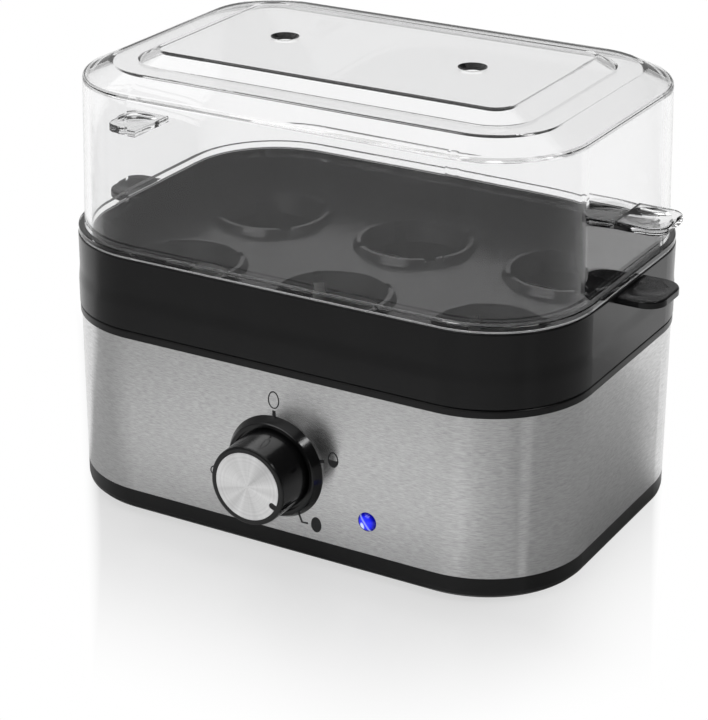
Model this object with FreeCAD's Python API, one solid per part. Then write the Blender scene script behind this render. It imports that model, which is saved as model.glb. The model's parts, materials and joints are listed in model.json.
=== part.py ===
import FreeCAD, Part
import math
import os

V = FreeCAD.Vector
UP = V(0, 0, 1)
TINY = 1e-6
PAST = 1.0                    # how far a cutting tool runs past the face it leaves
ARC_STEPS = 3                 # chords in a rounded edge of a stacked body

# Outline shared by the stacked bodies, seen from above: a rounded rectangle
HALF_LENGTH = 89.0
HALF_WIDTH = 61.5
CORNER_R = 34.0

# Heights above the table
BASE_BOTTOM = 1.5
BASE_TOP = 8.8
BAND_TOP = 62.1
COLLAR_TOP = 64.5
TRAY_CREASE = 75.0
TRAY_TOP = 88.8
LID_SHOULDER = 140.6
LID_RIDGE = 144.7
LID_STEP = 144.8
LID_TOP = 148.0

# Base tub
BASE_WALL = 2.6
BASE_FLOOR_TOP = 4.0
BASE_EDGE_R = 2.6
SHEET = 0.6                   # thickness of the steel band
LIP_GAP = 0.3                 # play between the band and what stands inside it
LIP_TOP = 13.0
VENT_COUNT = 7
VENT_PITCH = 8.0
VENT_WIDTH = 3.0
VENT_LENGTH = 26.0
VENT_ROUND = 1.0
VENT_CENTRE = (-14.0, 25.0)

# Feet
FOOT_X = 60.0
FOOT_Y = 36.0
FOOT_R = 7.0
FOOT_POCKET = 1.5
FOOT_EDGE = 0.6
FOOT_STEM_R = 2.0
FOOT_STEM_TOP = 7.0

# Screws that pull base, band and collar together
POST_INSET = 7.0
POST_R = 4.0
POST_BOTTOM = 12.0
SCREW_HEAD_R = 3.0
SCREW_HEAD_SEAT = 9.0
SCREW_HEAD_HEIGHT = 2.0
SCREW_R = 1.5
SCREW_TIP = 27.0
SCREW_PLAY = 0.12

# Collar round the heating plate
COLLAR_OUT = -0.4              # the collar stands a little proud of the band
COLLAR_EDGE_R = 0.5
SKIRT_BOTTOM = 50.0
SKIRT_WALL = 2.0
MOUTH_INSET = 15.0

# Heating plate, seal and the clips below its rim
PLATE_SHEET = 0.8
RIM_INSET = 11.5
RIM_TOP = 61.1
DISH_INSET = 16.5
DISH_FLOOR_INSET = 19.5
DISH_FLOOR = 56.5
SEAL_OUTER = 11.6
SEAL_INNER = 15.4
CLIP_X = 38.0
CLIP_BOSS_INSET = 7.2
CLIP_BOSS_R = 3.0
CLIP_HALF = 6.0
CLIP_SHEET = 1.2
CLIP_CORNER = 2.0
CLIP_OUTER = 4.0
CLIP_INNER = 15.0
CLIP_SCREW_R = 1.2
CLIP_SCREW_HEAD_R = 2.4
CLIP_SCREW_HEAD = 1.5
CLIP_SCREW_TIP = 63.0

# Sheathed element under the plate
ELEMENT_FLATS = 5.4
ELEMENT_X = 52.0
ELEMENT_Y = 24.0
ELEMENT_TAIL_X = 12.0
ELEMENT_TAIL_Y = 40.0
ELEMENT_BEND = 11.0
ELEMENT_PIN_R = 1.4
ELEMENT_PIN = 8.0

# Cut-outs under the plate
STUD_X = 24.0
STUD_R = 2.0
STUD_BOTTOM = 42.0
BRACKET_TOP = 46.8
BRACKET_SHEET = 1.2
BRACKET_HALF_WIDTH = 6.0
BRACKET_HALF_LENGTH = 30.0
NUT_FLATS = 7.0
NUT_HEIGHT = 2.6
THERMOSTAT_R = 8.0
THERMOSTAT_CAP_R = 6.5
THERMOSTAT_CAP = 3.0
THERMOSTAT_TAB = 7.0
THERMOSTAT_TAB_RISE = 2.0
TAB_WIDTH = 6.3
TAB_SHEET = 0.8
FUSE_X = 38.0
FUSE_R = 2.2
FUSE_HALF = 7.0
FUSE_LEAD_R = 0.5
FUSE_LEAD = 8.0
FUSE_CLIP_SHEET = 0.6
FUSE_CLIP_HALF = 3.0
FUSE_CLIP_FOOT = 4.0

# Control, knob and bezel: distances are measured outwards from the front of the band
KNOB_X = -0.5
KNOB_Z = 30.7
POINTER_ANGLE = -26.0         # where the pointer rests, from +X, seen from the front
BEZEL_R = 17.0
BEZEL_FACE_R = 15.4
BEZEL_HEIGHT = 3.2
BEZEL_EDGE_R = 0.6
BEZEL_WELL_R = 14.2
BEZEL_WEB = 1.8
BUSH_R = 4.75
BUSH_PLAY = 0.15
BUSH_END = 7.0
CONTROL_HALF = 12.0
CONTROL_CORNER = 2.5
CONTROL_DEPTH = 11.0
CONTROL_TAB_PITCH = 7.0
CONTROL_TAB_WIDTH = 2.4
CONTROL_TAB = 6.0
CONTROL_TAB_RISE = 3.0
SHAFT_R = 3.0
SHAFT_PLAY = 0.05
SHAFT_BACK = -7.5
SHAFT_END = 13.0
SHAFT_FLAT_FROM = 8.0
SHAFT_FLAT = 2.0
HUB_FLAT = 2.7
CLIP_LEAF = 0.5
CLIP_LEAF_HALF = 1.0
WASHER_R = 7.5
WASHER_HEIGHT = 0.8
CONTROL_NUT_FLATS = 14.0
CONTROL_NUT_HEIGHT = 2.5
KNOB_BACK = 2.2
KNOB_FRONT = 16.5
KNOB_BACK_R = 13.4
KNOB_FRONT_R = 12.9
KNOB_EDGE = 0.6
KNOB_BORE_R = 11.6
KNOB_BORE_END = 13.8
HUB_R = 5.2
HUB_BACK = 7.6
CAP_R = 11.1
CAP_SHEET = 0.9
CAP_PLAY = 0.1
NOTCH_WIDTH = 2.0
NOTCH_FROM = 9.8
POINTER_RIB = 1.2
POINTER_RIB_HEIGHT = 0.4

# Indicator light
LED_X = 32.2
LED_Z = 19.8
LENS_R = 3.1
LENS_PLAY = 0.1
LENS_DOME = 1.5
LENS_FLANGE_R = 4.3
LENS_FLANGE = 1.3
LENS_WINDOW = 0.2              # from the band's inner face to the hollow behind the dome
LED_R = 2.45
LED_RIM_R = 2.9
LED_BODY = 8.0
LED_RIM = 1.0
LED_GAP = 0.4
LED_PITCH = 2.54
LED_LEAD = 0.6
LED_LEAD_END = -19.0

# Board on four pillars of the base
BOARD_X = (-30.0, 40.0)
BOARD_Y = (-44.0, -4.0)
BOARD_SEAT = 16.0
BOARD_SHEET = 1.6
BOARD_MARGIN = 4.0
PILLAR_R = 3.2
STAKE_R = 1.4
STAKE_TOP = 18.8
BUZZER_PLACE = (-18.0, -24.0)
BUZZER_R = 6.0
BUZZER_HEIGHT = 7.0
BUZZER_EDGE = 0.5
BUZZER_PORT_R = 1.2
BUZZER_PORT = 1.5
BLOCK_ROUND = 0.8
RELAY_BOX = (2.0, 21.0, -20.0, -8.0, 14.0)
CAPACITOR_BOX = (2.0, 20.0, -36.0, -28.0, 12.0)

# Mains side, at the rear
GLAND_X = 40.0
GLAND_Z = 23.0
GLAND_BORE_R = 3.6
GLAND_NECK_R = 6.0
GLAND_FLANGE_R = 8.5
GLAND_PROUD = 2.5
GLAND_INNER = 8.0
GLAND_COLLAR_R = 8.0
GLAND_EDGE = 0.8
TERMINAL_BOX = (26.0, 54.0, 10.0, 24.0, 12.0)
TERMINAL_WAYS = 3
TERMINAL_WAY_R = 2.0
TERMINAL_WAY_RISE = 5.0
TERMINAL_SCREW_R = 1.8

# Egg tray
TRAY_LOW = -0.5               # the tray stands a little proud of the band
TRAY_HIGH = -0.1
TRAY_CREASE_HEIGHT = 4.0
TRAY_CREASE_R = 20.0
TRAY_EDGE_R = 0.6
GROOVE = 0.5                  # shadow line between the collar and the tray
GROOVE_INSET = 0.7
TRAY_WALL_INSET = 1.9
TRAY_FLOOR = 2.0
SPIGOT_OUTER = 15.6
SPIGOT_INNER = 17.4
SPIGOT_BOTTOM = 62.4
EGG_PITCH_X = 55.0
EGG_Y = 26.7
SEAT_BOTTOM = 70.5
SEAT_BOTTOM_R = 15.2
SEAT_TOP = 77.2
SEAT_TOP_R = 17.6
SEAT_WALL = 1.5
SEAT_FOOT_R = 20.4
NOTCHES = 4
STEAM_NOTCH = 4.0
STEAM_NOTCH_R = 19.4
TRAY_TAB_TOP = 87.8
TRAY_TAB_SHEET = 2.4
TRAY_TAB_HALF = 10.5
TRAY_TAB_END = 102.5
TRAY_TAB_CORNER = 6.5
TAB_HALF_LENGTH = 14.0        # most of it lies inside the wall and is trimmed away
TAB_ROOT = 1.0
TAB_EDGE_R = 0.8
FINGER_DISH_R = 7.4
FINGER_DISH = 1.0
FINGER_DISH_MARGIN = 1.6

# Lid
LID_EDGE_INSET = 0.1
LID_EDGE_TOP = 91.2
LID_EDGE_R = 0.4
LID_WALL_LOW = 2.0
LID_WALL_HIGH = 3.4
LID_SHEET = 2.0
LID_RIDGE_INSET = 12.2
LID_STEP_INSET = 20.9
LID_TOP_INSET = 27.0
LID_SHOULDER_R = 1.8
LID_RIDGE_R = 3.0
LID_INNER_R = 0.8
LID_PLUG_BOTTOM = 86.0
LID_PLUG_INSET = 2.4
LID_TAB_TOP = 110.9
LID_TAB_SHEET = 2.3
LID_TAB_HALF = 9.8
LID_TAB_END = 102.0
LID_TAB_CORNER = 5.0
LID_TAB_WALL = 2.6              # inset of the wall at the tab's height
STEAM_VENT_X = 33.4
STEAM_VENT_R = 3.4
STEAM_VENT_MOUTH_R = 4.6
STEAM_VENT_SINK = 1.0

SIDES = (1, -1)
CORNERS = ((-1, -1), (1, -1), (-1, 1), (1, 1))
CORNER_NAMES = ("front_left", "front_right", "rear_left", "rear_right")

# The origin is under the middle of the whole envelope, from knob face to gland
DEPTH_SHIFT = (KNOB_FRONT - GLAND_PROUD) / 2


# Drawing helpers

def rounded_wire(half_x, half_y, radius, z):
    """Closed rounded rectangle about the origin, at height z."""
    edges = []
    centres = ((1, 1), (-1, 1), (-1, -1), (1, -1))
    arcs = []
    for turn, (sx, sy) in enumerate(centres):
        middle = V(sx * (half_x - radius), sy * (half_y - radius), z)
        points = []
        for step in range(3):
            angle = math.radians(90 * turn + 45 * step)
            points.append(middle + V(radius * math.cos(angle), radius * math.sin(angle), 0))
        arcs.append(points)
    for turn, points in enumerate(arcs):
        following = arcs[(turn + 1) % 4][0]
        edges.append(Part.Arc(*points).toShape())
        if points[2].distanceToPoint(following) > TINY:
            edges.append(Part.LineSegment(points[2], following).toShape())
    return Part.Wire(edges)


def outline(inset, z):
    """The body's outline, moved inwards by inset."""
    return rounded_wire(HALF_LENGTH - inset, HALF_WIDTH - inset, CORNER_R - inset, z)


def slab(inset, z0, z1):
    return Part.Face(outline(inset, z0)).extrude(UP * (z1 - z0))


def ring(outer, inner, z0, z1):
    return slab(outer, z0, z1).cut(slab(inner, z0 - PAST, z1 + PAST))


def stack(profile):
    """Solid that follows the outline at each inset and height of the profile in turn."""
    low = profile[0][1]
    high = profile[-1][1]
    half_x = HALF_LENGTH - CORNER_R
    half_y = HALF_WIDTH - CORNER_R
    corners = [V(0, 0, low)] + [V(CORNER_R - inset, 0, z) for inset, z in profile] + [V(0, 0, high)]
    section = Part.Face(Part.makePolygon(corners + corners[:1]))
    centres = (V(half_x, -half_y, 0), V(half_x, half_y, 0), V(-half_x, half_y, 0), V(-half_x, -half_y, 0))
    solids = []
    for side in range(4):
        start = centres[side]
        end = centres[(side + 1) % 4]
        wall = section.extrude(V(0, start.distanceToPoint(end), 0))
        corner = section.revolve(V(0, 0, 0), UP, 90)
        solids.append(wall.rotated(V(0, 0, 0), UP, 90 * side).translated(start))
        solids.append(corner.rotated(V(0, 0, 0), UP, 90 * side).translated(end))
    middle = box(-half_x, half_x, -half_y, half_y, low, high)
    return middle.fuse(solids).removeSplitter()


def pad(half_x, half_y, radius, z0, z1, x=0.0, y=0.0):
    face = Part.Face(rounded_wire(half_x, half_y, radius, z0))
    return face.extrude(UP * (z1 - z0)).translated(V(x, y, 0))


def box(x0, x1, y0, y1, z0, z1):
    return Part.makeBox(x1 - x0, y1 - y0, z1 - z0, V(x0, y0, z0))


def rod(radius, z0, z1, x=0.0, y=0.0):
    return Part.makeCylinder(radius, z1 - z0, V(x, y, z0))


def turned(points):
    """Solid of revolution about Z from (radius, height) points."""
    corners = [V(radius, 0, height) for radius, height in points]
    face = Part.Face(Part.makePolygon(corners + corners[:1]))
    return face.revolve(V(0, 0, 0), UP, 360)


def hexagon(flats, z0, z1):
    radius = flats / math.sqrt(3)
    corners = []
    for side in range(7):
        angle = math.radians(60 * side)
        corners.append(V(radius * math.cos(angle), radius * math.sin(angle), z0))
    return Part.Face(Part.makePolygon(corners)).extrude(UP * (z1 - z0))


def on_front(shape, x, z):
    """Turn a piece drawn facing +Z to face the front, at x and height z of the band."""
    turn = FreeCAD.Rotation(V(1, 0, 0), 90)
    return shape.transformed(FreeCAD.Placement(V(x, -HALF_WIDTH, z), turn).toMatrix())


def on_rear(shape, x, z):
    turn = FreeCAD.Rotation(V(1, 0, 0), -90)
    return shape.transformed(FreeCAD.Placement(V(x, HALF_WIDTH, z), turn).toMatrix())


def soften(before, corner, after, radius):
    """Points of the arc that rounds one corner of a profile."""
    first = V(before[0] - corner[0], before[1] - corner[1], 0).normalize()
    second = V(after[0] - corner[0], after[1] - corner[1], 0).normalize()
    half = first.getAngle(second) / 2
    middle = V(corner[0], corner[1], 0) + (first + second).normalize() * (radius / math.sin(half))
    start = V(corner[0], corner[1], 0) + first * (radius / math.tan(half)) - middle
    end = V(corner[0], corner[1], 0) + second * (radius / math.tan(half)) - middle
    points = []
    for step in range(ARC_STEPS + 1):
        arm = (start * (ARC_STEPS - step) + end * step).normalize() * radius
        points.append((middle.x + arm.x, middle.y + arm.y))
    return points


def bent_path(points, radius):
    """Wire of straight runs joined by tangent arcs at every inner point."""
    edges = []
    start = points[0]
    for before, corner, after in zip(points, points[1:], points[2:]):
        back = (before - corner).normalize()
        ahead = (after - corner).normalize()
        half = back.getAngle(ahead) / 2
        reach = radius / math.tan(half)
        inward = (back + ahead).normalize()
        middle = corner + inward * (radius / math.sin(half) - radius)
        edges.append(Part.LineSegment(start, corner + back * reach).toShape())
        edges.append(Part.Arc(corner + back * reach, middle, corner + ahead * reach).toShape())
        start = corner + ahead * reach
    edges.append(Part.LineSegment(start, points[-1]).toShape())
    return Part.Wire(edges)


def post_places():
    """Places of the four posts, on the diagonals of the outline's corners."""
    reach = (CORNER_R - POST_INSET) * math.sqrt(0.5)
    x = HALF_LENGTH - CORNER_R + reach
    y = HALF_WIDTH - CORNER_R + reach
    return [(sx * x, sy * y) for sx, sy in CORNERS]


def foot_places():
    return [(sx * FOOT_X, sy * FOOT_Y) for sx, sy in CORNERS]


def clip_places():
    return [(sx * CLIP_X, sy) for sx, sy in CORNERS]


def egg_places():
    return [(column * EGG_PITCH_X, sy * EGG_Y) for sy in SIDES for column in (-1, 0, 1)]


def pillar_places():
    xs = (BOARD_X[0] + BOARD_MARGIN, BOARD_X[1] - BOARD_MARGIN)
    ys = (BOARD_Y[0] + BOARD_MARGIN, BOARD_Y[1] - BOARD_MARGIN)
    return [(x, y) for x in xs for y in ys]


# Housing

def base_housing():
    """Tub with a rounded lower edge, a lip inside the band, screw bosses, foot seats and vents."""
    edge = soften((HALF_WIDTH, BASE_BOTTOM), (0, BASE_BOTTOM), (0, BASE_TOP), BASE_EDGE_R)
    tub = stack(edge + [(0, BASE_TOP)])
    tub = tub.cut(slab(BASE_WALL, BASE_FLOOR_TOP, BASE_TOP + PAST))
    added = [ring(SHEET + LIP_GAP, BASE_WALL, BASE_FLOOR_TOP, LIP_TOP)]
    removed = []
    for x, y in post_places():
        added.append(rod(POST_R, BASE_FLOOR_TOP - PAST, POST_BOTTOM, x, y))
        removed.append(rod(SCREW_HEAD_R + SCREW_PLAY * 2, 0, SCREW_HEAD_SEAT, x, y))
        removed.append(rod(SCREW_R + SCREW_PLAY, 0, POST_BOTTOM + PAST, x, y))
    for x, y in foot_places():
        removed.append(rod(FOOT_R + SCREW_PLAY, 0, BASE_BOTTOM + FOOT_POCKET, x, y))
        removed.append(rod(FOOT_STEM_R + SCREW_PLAY, 0, BASE_FLOOR_TOP + PAST, x, y))
    for x, y in pillar_places():
        added.append(rod(PILLAR_R, BASE_FLOOR_TOP - PAST, BOARD_SEAT, x, y))
        added.append(rod(STAKE_R, BASE_FLOOR_TOP - PAST, STAKE_TOP, x, y))
    for vent in range(VENT_COUNT):
        x = VENT_CENTRE[0] + (vent - (VENT_COUNT - 1) / 2) * VENT_PITCH
        slit = pad(VENT_WIDTH / 2, VENT_LENGTH / 2, VENT_ROUND, 0, BASE_FLOOR_TOP + PAST, x, VENT_CENTRE[1])
        removed.append(slit)
    return tub.fuse(added).cut(removed).removeSplitter()


def steel_band():
    band = ring(0, SHEET, BASE_TOP, BAND_TOP)
    shaft_hole = on_front(rod(BUSH_R + BUSH_PLAY, -PAST * 2, PAST), KNOB_X, KNOB_Z)
    lens_hole = on_front(rod(LENS_R + LENS_PLAY, -PAST * 2, PAST), LED_X, LED_Z)
    gland_hole = on_rear(rod(GLAND_NECK_R + BUSH_PLAY, -PAST * 2, PAST), GLAND_X, GLAND_Z)
    return band.cut([shaft_hole, lens_hole, gland_hole])


def top_collar():
    low = (COLLAR_OUT, BAND_TOP)
    high = (COLLAR_OUT, COLLAR_TOP)
    collar = stack([low] + soften(low, high, (HALF_WIDTH, COLLAR_TOP), COLLAR_EDGE_R))
    collar = collar.cut(slab(MOUTH_INSET, BAND_TOP - PAST, COLLAR_TOP + PAST))
    skirt = SHEET + LIP_GAP
    added = [ring(skirt, skirt + SKIRT_WALL, SKIRT_BOTTOM, BAND_TOP + PAST)]
    removed = []
    for x, y in post_places():
        added.append(rod(POST_R, POST_BOTTOM, BAND_TOP + PAST, x, y))
        removed.append(rod(SCREW_R + SCREW_PLAY, POST_BOTTOM - PAST, SCREW_TIP + PAST, x, y))
    for x, side in clip_places():
        y = side * (HALF_WIDTH - CLIP_BOSS_INSET)
        added.append(rod(CLIP_BOSS_R, RIM_TOP - PLATE_SHEET, BAND_TOP + PAST, x, y))
        removed.append(rod(CLIP_SCREW_R + SCREW_PLAY, 0, CLIP_SCREW_TIP + SCREW_PLAY, x, y))
    return collar.fuse(added).cut(removed).removeSplitter()


def housing_screw(x, y):
    """One of the long screws from below, its head sunk in the base."""
    head = rod(SCREW_HEAD_R, SCREW_HEAD_SEAT - SCREW_HEAD_HEIGHT, SCREW_HEAD_SEAT, x, y)
    return head.fuse(rod(SCREW_R, SCREW_HEAD_SEAT - PAST, SCREW_TIP, x, y)).removeSplitter()


def housing_screws():
    return Part.makeCompound([housing_screw(x, y) for x, y in post_places()])


def foot(x, y):
    """Rubber foot: disc in its pocket, with a stem pushed through the base's floor."""
    seat = BASE_BOTTOM + FOOT_POCKET
    profile = [(0, 0), (FOOT_R - FOOT_EDGE, 0), (FOOT_R, FOOT_EDGE), (FOOT_R, seat)]
    profile += [(FOOT_STEM_R, seat), (FOOT_STEM_R, FOOT_STEM_TOP), (0, FOOT_STEM_TOP)]
    return turned(profile).translated(V(x, y, 0))


# Heating side

def heating_plate():
    rim = slab(RIM_INSET, RIM_TOP - PLATE_SHEET, RIM_TOP)
    under = DISH_FLOOR - PLATE_SHEET
    dish = stack([(DISH_FLOOR_INSET - PLATE_SHEET, under), (DISH_INSET - PLATE_SHEET, RIM_TOP)])
    hollow = stack([(DISH_FLOOR_INSET, DISH_FLOOR), (DISH_INSET, RIM_TOP)])
    studs = [rod(STUD_R, STUD_BOTTOM, under + PLATE_SHEET / 2, side * STUD_X) for side in SIDES]
    return rim.fuse(dish).cut(hollow).fuse(studs).removeSplitter()


def plate_seal():
    return ring(SEAL_OUTER, SEAL_INNER, RIM_TOP, BAND_TOP)


def plate_clip(x, side):
    """Strip that bears on the collar's boss and reaches under the plate's rim."""
    top = RIM_TOP - PLATE_SHEET
    middle = HALF_WIDTH - (CLIP_OUTER + CLIP_INNER) / 2
    strip = pad(CLIP_HALF, (CLIP_INNER - CLIP_OUTER) / 2, CLIP_CORNER,
                top - CLIP_SHEET, top, x, side * middle)
    hole_y = side * (HALF_WIDTH - CLIP_BOSS_INSET)
    return strip.cut(rod(CLIP_SCREW_R + SCREW_PLAY, 0, top + PAST, x, hole_y))


def clip_screws():
    seat = RIM_TOP - PLATE_SHEET - CLIP_SHEET
    screws = []
    for x, side in clip_places():
        y = side * (HALF_WIDTH - CLIP_BOSS_INSET)
        head = rod(CLIP_SCREW_HEAD_R, seat - CLIP_SCREW_HEAD, seat, x, y)
        shank = rod(CLIP_SCREW_R, seat - CLIP_SCREW_HEAD, CLIP_SCREW_TIP, x, y)
        screws.append(head.fuse(shank).removeSplitter())
    return Part.makeCompound(screws)


def heating_element():
    """Open loop of sheathed tube, pressed to flats so that it can be brazed to the plate, with its pins."""
    z = DISH_FLOOR - PLATE_SHEET - ELEMENT_FLATS / 2
    route = [(ELEMENT_TAIL_X, ELEMENT_TAIL_Y), (ELEMENT_TAIL_X, ELEMENT_Y)]
    route += [(ELEMENT_X, ELEMENT_Y), (ELEMENT_X, -ELEMENT_Y)]
    route += [(-x, y) for x, y in reversed(route)]
    points = [V(x, y, z) for x, y in route]
    section = []
    for side in range(7):
        angle = math.radians(60 * side)
        reach = ELEMENT_FLATS / math.sqrt(3)
        section.append(points[0] + V(reach * math.cos(angle), 0, reach * math.sin(angle)))
    loop = bent_path(points, ELEMENT_BEND).makePipeShell([Part.makePolygon(section)], True, False)
    pins = []
    for side in SIDES:
        start = V(side * ELEMENT_TAIL_X, ELEMENT_TAIL_Y - PAST, z)
        pins.append(Part.makeCylinder(ELEMENT_PIN_R, ELEMENT_PIN + PAST, start, V(0, 1, 0)))
    return loop.fuse(pins).removeSplitter()


def sensor_bracket():
    strap = pad(BRACKET_HALF_LENGTH, BRACKET_HALF_WIDTH, BRACKET_HALF_WIDTH / 2,
                BRACKET_TOP - BRACKET_SHEET, BRACKET_TOP)
    holes = [rod(STUD_R + SCREW_PLAY, 0, BRACKET_TOP + PAST, side * STUD_X) for side in SIDES]
    return strap.cut(holes)


def bracket_nuts():
    top = BRACKET_TOP - BRACKET_SHEET
    nuts = []
    for side in SIDES:
        nut = hexagon(NUT_FLATS, top - NUT_HEIGHT, top)
        nut = nut.cut(rod(STUD_R + SCREW_PLAY, 0, top + PAST))
        nuts.append(nut.translated(V(side * STUD_X, 0, 0)))
    return Part.makeCompound(nuts)


def thermostat():
    """Disc thermostat: moulded body below, metal sensing cap against the plate, two tabs."""
    seat = DISH_FLOOR - PLATE_SHEET
    body_top = seat - THERMOSTAT_CAP
    can = turned([(0, BRACKET_TOP), (THERMOSTAT_R, BRACKET_TOP), (THERMOSTAT_R, body_top),
                  (THERMOSTAT_CAP_R, body_top), (THERMOSTAT_CAP_R, seat), (0, seat)])
    reach = THERMOSTAT_R + THERMOSTAT_TAB
    low = BRACKET_TOP + THERMOSTAT_TAB_RISE
    half = TAB_WIDTH / 2
    return can.fuse(box(-half, half, -reach, reach, low, low + TAB_SHEET)).removeSplitter()


def thermal_fuse():
    z = DISH_FLOOR - PLATE_SHEET - FUSE_R
    body = Part.makeCylinder(FUSE_R, FUSE_HALF * 2, V(FUSE_X, -FUSE_HALF, z), V(0, 1, 0))
    length = (FUSE_HALF + FUSE_LEAD) * 2
    lead = Part.makeCylinder(FUSE_LEAD_R, length, V(FUSE_X, -length / 2, z), V(0, 1, 0))
    return body.fuse(lead).removeSplitter()


def fuse_clip():
    """Saddle over the fuse, with a foot on the plate at either side."""
    seat = DISH_FLOOR - PLATE_SHEET
    z = seat - FUSE_R
    inner = FUSE_R + SCREW_PLAY
    outer = inner + FUSE_CLIP_SHEET
    start = V(FUSE_X, -FUSE_CLIP_HALF, z)
    length = FUSE_CLIP_HALF * 2
    saddle = Part.makeCylinder(outer, length, start, V(0, 1, 0))
    saddle = saddle.fuse(box(FUSE_X - outer, FUSE_X + outer, -FUSE_CLIP_HALF, FUSE_CLIP_HALF, z, seat))
    reach = outer + FUSE_CLIP_FOOT
    feet = box(FUSE_X - reach, FUSE_X + reach, -FUSE_CLIP_HALF, FUSE_CLIP_HALF,
               seat - FUSE_CLIP_SHEET, seat)
    hollow = Part.makeCylinder(inner, length, start, V(0, 1, 0))
    slot = box(FUSE_X - inner, FUSE_X + inner, -FUSE_CLIP_HALF, FUSE_CLIP_HALF, z, seat)
    below = box(FUSE_X - reach, FUSE_X + reach, -FUSE_CLIP_HALF, FUSE_CLIP_HALF, seat, seat + outer)
    return saddle.fuse(feet).cut([hollow, slot, below]).removeSplitter()


# Control, knob and light, drawn facing +Z and then turned to the front

def knob_bezel():
    """Ring with a sloping side and a flat face, round the well that the knob turns in."""
    foot_line = (BEZEL_R, 0)
    face_line = (BEZEL_WELL_R, BEZEL_HEIGHT)
    profile = [(BUSH_R + BUSH_PLAY, 0), foot_line]
    profile += soften(foot_line, (BEZEL_FACE_R, BEZEL_HEIGHT), face_line, BEZEL_EDGE_R)
    profile += [face_line, (BEZEL_WELL_R, BEZEL_WEB), (BUSH_R + BUSH_PLAY, BEZEL_WEB)]
    return on_front(turned(profile), KNOB_X, KNOB_Z)


def rotary_control():
    """Rotary control: square can behind the band, threaded bush through it, three tabs below."""
    back = -SHEET - CONTROL_DEPTH
    can = pad(CONTROL_HALF, CONTROL_HALF, CONTROL_CORNER, back, -SHEET)
    bush = rod(BUSH_R, -SHEET, BUSH_END)
    low = back + CONTROL_TAB_RISE
    half = CONTROL_TAB_WIDTH / 2
    tabs = []
    for way in (-1, 0, 1):
        x = way * CONTROL_TAB_PITCH
        tabs.append(box(x - half, x + half, -CONTROL_HALF - CONTROL_TAB, -CONTROL_HALF,
                        low, low + TAB_SHEET))
    bore = rod(SHAFT_R + SHAFT_PLAY, SHAFT_BACK - SHAFT_PLAY * 2, BUSH_END + PAST)
    return on_front(can.fuse([bush] + tabs).cut(bore).removeSplitter(), KNOB_X, KNOB_Z)


def control_washer():
    washer = rod(WASHER_R, BEZEL_WEB, BEZEL_WEB + WASHER_HEIGHT)
    return on_front(washer.cut(rod(BUSH_R + BUSH_PLAY, 0, BUSH_END)), KNOB_X, KNOB_Z)


def control_nut():
    seat = BEZEL_WEB + WASHER_HEIGHT
    nut = hexagon(CONTROL_NUT_FLATS, seat, seat + CONTROL_NUT_HEIGHT)
    return on_front(nut.cut(rod(BUSH_R + BUSH_PLAY, 0, BUSH_END + PAST)), KNOB_X, KNOB_Z)


def to_pointer(shape):
    """Turn a piece drawn with its pointer along +X to the setting it rests at."""
    return on_front(shape.rotated(V(0, 0, 0), UP, POINTER_ANGLE), KNOB_X, KNOB_Z)


def control_shaft():
    shaft = rod(SHAFT_R, SHAFT_BACK, SHAFT_END)
    flat = box(SHAFT_FLAT, SHAFT_R + PAST, -SHAFT_R, SHAFT_R, SHAFT_FLAT_FROM, SHAFT_END + PAST)
    return to_pointer(shaft.cut(flat))


def knob_clip():
    """Spring leaf between the shaft's flat and the knob's hub."""
    middle = (SHAFT_FLAT + HUB_FLAT) / 2
    leaf = box(middle - CLIP_LEAF / 2, middle + CLIP_LEAF / 2, -CLIP_LEAF_HALF, CLIP_LEAF_HALF,
               SHAFT_FLAT_FROM + PAST / 2, SHAFT_END - PAST / 2)
    return to_pointer(leaf)


def notch(width, z0, z1):
    """Radial slot with a round inner end, open at the rim."""
    slot = box(NOTCH_FROM, CAP_R + PAST, -width / 2, width / 2, z0, z1)
    return rod(width / 2, z0, z1, NOTCH_FROM).fuse(slot)


def knob():
    """Hollow knob: skirt, hub with a D-shaped bore, recess for the cap and a pointer rib."""
    edge = KNOB_EDGE * (1 - math.sqrt(0.5))
    floor = KNOB_FRONT - CAP_SHEET
    profile = [(KNOB_BORE_R, KNOB_BACK), (KNOB_BACK_R, KNOB_BACK), (KNOB_FRONT_R, KNOB_FRONT - KNOB_EDGE)]
    profile += [(KNOB_FRONT_R - edge, KNOB_FRONT - edge), (KNOB_FRONT_R - KNOB_EDGE, KNOB_FRONT)]
    profile += [(CAP_R + CAP_PLAY, KNOB_FRONT), (CAP_R + CAP_PLAY, floor), (0, floor)]
    profile += [(0, KNOB_BORE_END), (KNOB_BORE_R, KNOB_BORE_END)]
    hub = rod(HUB_R, HUB_BACK, KNOB_BORE_END + PAST)
    bore = rod(SHAFT_R + SHAFT_PLAY, HUB_BACK - PAST, SHAFT_END + SHAFT_PLAY)
    bore = bore.cut(box(HUB_FLAT, HUB_R, -HUB_R, HUB_R, SHAFT_FLAT_FROM, SHAFT_END + PAST))
    pointer = notch(NOTCH_WIDTH - CAP_PLAY * 2, floor - PAST / 2, KNOB_FRONT - CAP_PLAY)
    pointer = pointer.common(rod(KNOB_FRONT_R - KNOB_EDGE, floor - PAST, KNOB_FRONT))
    rib = box(KNOB_FRONT_R - PAST, KNOB_FRONT_R + POINTER_RIB_HEIGHT, -POINTER_RIB / 2, POINTER_RIB / 2,
              BEZEL_HEIGHT + PAST, KNOB_FRONT - KNOB_EDGE)
    return to_pointer(turned(profile).fuse([hub, pointer, rib]).cut(bore).removeSplitter())


def knob_cap():
    disc = rod(CAP_R, KNOB_FRONT - CAP_SHEET, KNOB_FRONT)
    return to_pointer(disc.cut(notch(NOTCH_WIDTH, 0, KNOB_FRONT + PAST)))


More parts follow.
